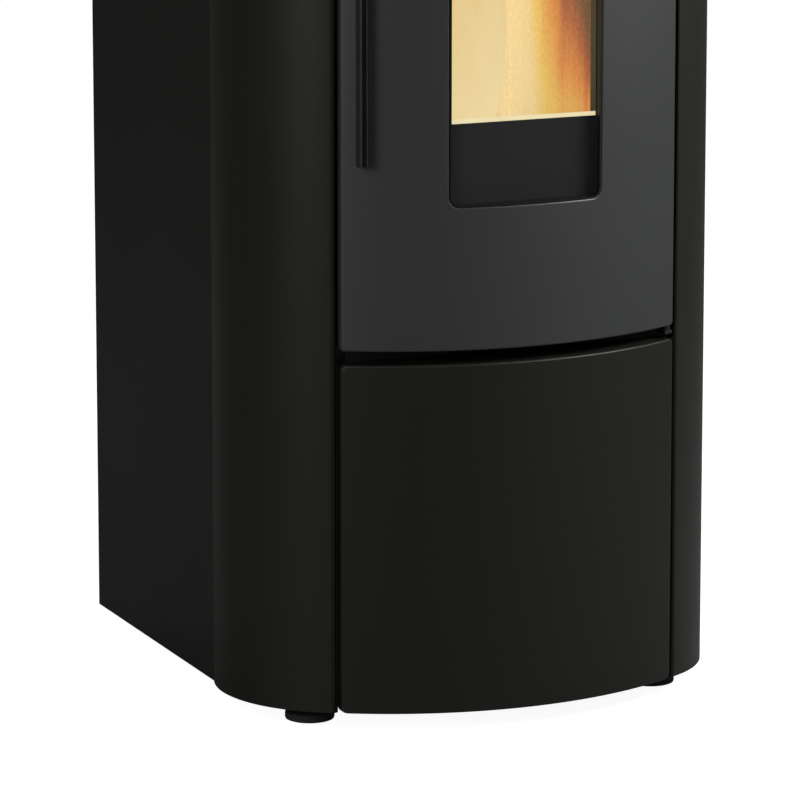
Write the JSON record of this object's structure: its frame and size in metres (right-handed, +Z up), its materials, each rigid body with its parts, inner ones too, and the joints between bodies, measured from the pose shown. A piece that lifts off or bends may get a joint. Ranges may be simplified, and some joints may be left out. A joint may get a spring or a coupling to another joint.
{
  "type": "pellet stove",
  "caption": "Freestanding pellet stove with a bowed fire door, narrow window, blade handle, curved corner panels, flush hopper lid and rear flue outlet",
  "frame": {"origin": "on the floor under the middle of the bounding box, flue outlet included", "axes": "+Z up, -Y towards the front of the stove, +X to the right seen from the front"},
  "size_m": [0.54, 0.637, 1.1527],
  "materials": {
    "casing": "fine-textured matt anthracite powder coat",
    "door_paint": "satin anthracite high-temperature paint",
    "frame_steel": "galvanised sheet",
    "black_steel": "matt black high-temperature paint",
    "cast": "rough cast, sooted",
    "board": "pressed vermiculite, sooted",
    "ceramic_glass": "flat clear ceramic glass",
    "rope": "braided glass fibre",
    "handle_metal": "satin black with bright edges",
    "trim": "fine brushed",
    "screw_steel": "zinc plated",
    "foot_rubber": "matt black",
    "plastic": "fine grain black",
    "display": "glossy black",
    "board_green": "circuit board",
    "motor": "die cast",
    "seal": "soft black"
  },
  "bodies": {
    "stove_body": {"base_plate": "frame_steel", "frame_posts": "black_steel", "top_frame": "frame_steel", "corner_panel_left": "casing", "corner_panel_right": "casing", "side_panel_left": "casing", "side_panel_right": "casing", "rear_panel": "casing", "casing_screws": "screw_steel", "top_cover": "casing", "panel_catches": "plastic", "firebox": "black_steel", "firebox_stand": "frame_steel", "fireback": "cast", "side_liners": "board", "baffle_plate": "board", "brazier_holder": "cast", "igniter": "screw_steel", "ash_drawer": "black_steel", "smoke_duct": "frame_steel", "exhaust_fan_housing": "motor", "exhaust_motor": "black_steel", "flue_outlet": "black_steel", "air_intake": "frame_steel", "room_fan_housing": "frame_steel", "room_fan_motor": "motor", "hopper": "frame_steel", "lid_seal": "seal", "lid_hinges": "black_steel", "auger_tube": "frame_steel", "auger_gearmotor": "motor", "pellet_chute": "frame_steel", "control_board": "board_green", "power_inlet": "plastic", "switch_frame": "plastic", "display_panel": "display", "hinge_brackets": "black_steel", "latch_keeper": "screw_steel"},
    "fire_door": {"door_skin": "door_paint", "door_frame": "black_steel", "window_trim": "trim", "door_glass": "ceramic_glass", "glass_gasket": "rope", "door_gasket": "rope"},
    "door_handle": {"handle_bar": "handle_metal", "latch_lever": "black_steel"},
    "service_panel": {"lower_panel": "casing"},
    "lid": {"hopper_lid": "casing"},
    "pellet_screw": {"auger_screw": "screw_steel"},
    "burn_pot": {"brazier": "cast"},
    "smoke_fan_wheel": {"exhaust_impeller": "screw_steel"},
    "room_fan_drum": {"room_fan_impeller": "screw_steel"},
    "rocker": {"main_switch": "plastic"},
    "power_key": {"power_button": "plastic"},
    "minus_key": {"minus_button": "plastic"},
    "plus_key": {"plus_button": "plastic"},
    "front_left_foot": {"foot_front_left": "foot_rubber"},
    "front_right_foot": {"foot_front_right": "foot_rubber"},
    "rear_left_foot": {"foot_rear_left": "foot_rubber"},
    "rear_right_foot": {"foot_rear_right": "foot_rubber"}
  },
  "joints": [
    {"name": "fire_door_hinge", "type": "hinge", "parent": "stove_body", "child": "fire_door", "pos_m": [0.1805, -0.2645, 0.79], "axis": [0, 0, 1], "range_deg": [0, 100]},
    {"name": "handle_pivot", "type": "hinge", "parent": "fire_door", "child": "door_handle", "pos_m": [-0.14, -0.2715, 0.79], "axis": [0, 0, 1], "range_deg": [0, 12]},
    {"name": "service_panel_pull", "type": "slide", "parent": "stove_body", "child": "service_panel", "axis": [0, -1, 0], "range_m": [0, 0.12]},
    {"name": "lid_hinge", "type": "hinge", "parent": "stove_body", "child": "lid", "pos_m": [0, 0.2275, 1.14], "axis": [-1, 0, 0], "range_deg": [0, 80]},
    {"name": "pellet_screw_turn", "type": "hinge", "parent": "stove_body", "child": "pellet_screw", "pos_m": [0, 0.0965, 0.64], "axis": [0, -0.6428, 0.766], "continuous": true},
    {"name": "burn_pot_lift", "type": "slide", "parent": "stove_body", "child": "burn_pot", "axis": [0, 0, 1], "range_m": [0, 0.045]},
    {"name": "smoke_fan_turn", "type": "hinge", "parent": "stove_body", "child": "smoke_fan_wheel", "pos_m": [-0.11, 0.0915, 0.15], "axis": [1, 0, 0], "continuous": true},
    {"name": "room_fan_turn", "type": "hinge", "parent": "stove_body", "child": "room_fan_drum", "pos_m": [0.105, 0.1515, 0.11], "axis": [1, 0, 0], "continuous": true},
    {"name": "main_switch_rock", "type": "hinge", "parent": "stove_body", "child": "rocker", "pos_m": [0.205, 0.272, 0.062], "axis": [-1, 0, 0], "range_deg": [0, 16]},
    {"name": "power_key_press", "type": "slide", "parent": "stove_body", "child": "power_key", "axis": [0, 0, -1], "range_m": [0, 0.001], "stiffness_N_per_m": 400, "springref_m": -0.0005},
    {"name": "minus_key_press", "type": "slide", "parent": "stove_body", "child": "minus_key", "axis": [0, 0, -1], "range_m": [0, 0.001], "stiffness_N_per_m": 400, "springref_m": -0.0005},
    {"name": "plus_key_press", "type": "slide", "parent": "stove_body", "child": "plus_key", "axis": [0, 0, -1], "range_m": [0, 0.001], "stiffness_N_per_m": 400, "springref_m": -0.0005},
    {"name": "front_left_foot_screw", "type": "slide", "parent": "stove_body", "child": "front_left_foot", "axis": [0, 0, -1], "range_m": [0, 0.015]},
    {"name": "front_right_foot_screw", "type": "slide", "parent": "stove_body", "child": "front_right_foot", "axis": [0, 0, -1], "range_m": [0, 0.015]},
    {"name": "rear_left_foot_screw", "type": "slide", "parent": "stove_body", "child": "rear_left_foot", "axis": [0, 0, -1], "range_m": [0, 0.015]},
    {"name": "rear_right_foot_screw", "type": "slide", "parent": "stove_body", "child": "rear_right_foot", "axis": [0, 0, -1], "range_m": [0, 0.015]}
  ]
}
